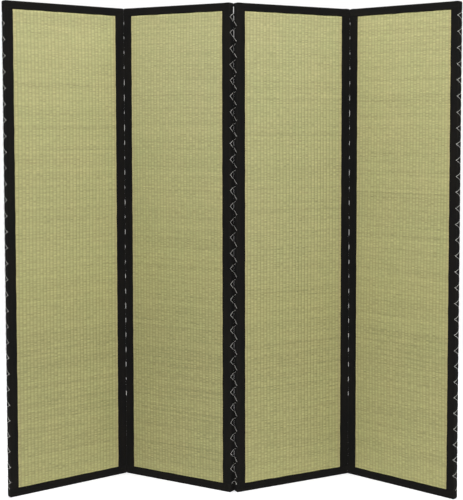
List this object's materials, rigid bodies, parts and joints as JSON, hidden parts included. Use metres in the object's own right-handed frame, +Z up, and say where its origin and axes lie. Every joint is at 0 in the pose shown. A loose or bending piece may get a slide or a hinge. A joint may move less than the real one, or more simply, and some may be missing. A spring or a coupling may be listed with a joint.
{
  "type": "folding screen with goza mats",
  "caption": "Free-standing folding screen of upright panels faced with woven rush mat, bound in black tape and hinged by laced string.",
  "frame": {"origin": "middle of the screen's base, on the floor", "axes": "+Z up the panels, +X along the row of panels to the right as seen from the front, -Y towards the viewer in front"},
  "size_m": [1.5546, 0.317, 1.7],
  "materials": {
    "rush": "woven rush, dry and slightly shiny, with fine upright ribs",
    "black_tape": "matte black plain-woven cotton tape",
    "string": "off-white twisted string",
    "pine": "plain planed softwood"
  },
  "bodies": {
    "panel_1": {"panel_1_stile_left": "pine", "panel_1_stile_right": "pine", "panel_1_rail_top": "pine", "panel_1_rail_bottom": "pine", "panel_1_mat_front": "rush", "panel_1_mat_rear": "rush", "panel_1_binding_left": "black_tape", "panel_1_binding_right": "black_tape", "panel_1_binding_top": "black_tape", "panel_1_binding_bottom": "black_tape", "panel_1_lacing_left": "string", "panel_1_lacing_right": "string"},
    "panel_2": {"panel_2_stile_left": "pine", "panel_2_stile_right": "pine", "panel_2_rail_top": "pine", "panel_2_rail_bottom": "pine", "panel_2_mat_front": "rush", "panel_2_mat_rear": "rush", "panel_2_binding_left": "black_tape", "panel_2_binding_right": "black_tape", "panel_2_binding_top": "black_tape", "panel_2_binding_bottom": "black_tape", "panel_2_lacing_left": "string", "panel_2_lacing_right": "string"},
    "panel_3": {"panel_3_stile_left": "pine", "panel_3_stile_right": "pine", "panel_3_rail_top": "pine", "panel_3_rail_bottom": "pine", "panel_3_mat_front": "rush", "panel_3_mat_rear": "rush", "panel_3_binding_left": "black_tape", "panel_3_binding_right": "black_tape", "panel_3_binding_top": "black_tape", "panel_3_binding_bottom": "black_tape", "panel_3_lacing_left": "string", "panel_3_lacing_right": "string"},
    "panel_4": {"panel_4_stile_left": "pine", "panel_4_stile_right": "pine", "panel_4_rail_top": "pine", "panel_4_rail_bottom": "pine", "panel_4_mat_front": "rush", "panel_4_mat_rear": "rush", "panel_4_binding_left": "black_tape", "panel_4_binding_right": "black_tape", "panel_4_binding_top": "black_tape", "panel_4_binding_bottom": "black_tape", "panel_4_lacing_left": "string", "panel_4_lacing_right": "string"}
  },
  "joints": [
    {"name": "left_hinge", "type": "hinge", "parent": "panel_2", "child": "panel_1", "pos_m": [-0.40042, 0.13918, 0], "axis": [0, 0, 1], "range_deg": [-64, 114]},
    {"name": "middle_hinge", "type": "hinge", "parent": "panel_2", "child": "panel_3", "pos_m": [0.00382, -0.05872, 0], "axis": [0, 0, 1], "range_deg": [-55, 123]},
    {"name": "right_hinge", "type": "hinge", "parent": "panel_3", "child": "panel_4", "pos_m": [0.41473, 0.12495, 0], "axis": [0, 0, -1], "range_deg": [-65, 112.8]}
  ]
}
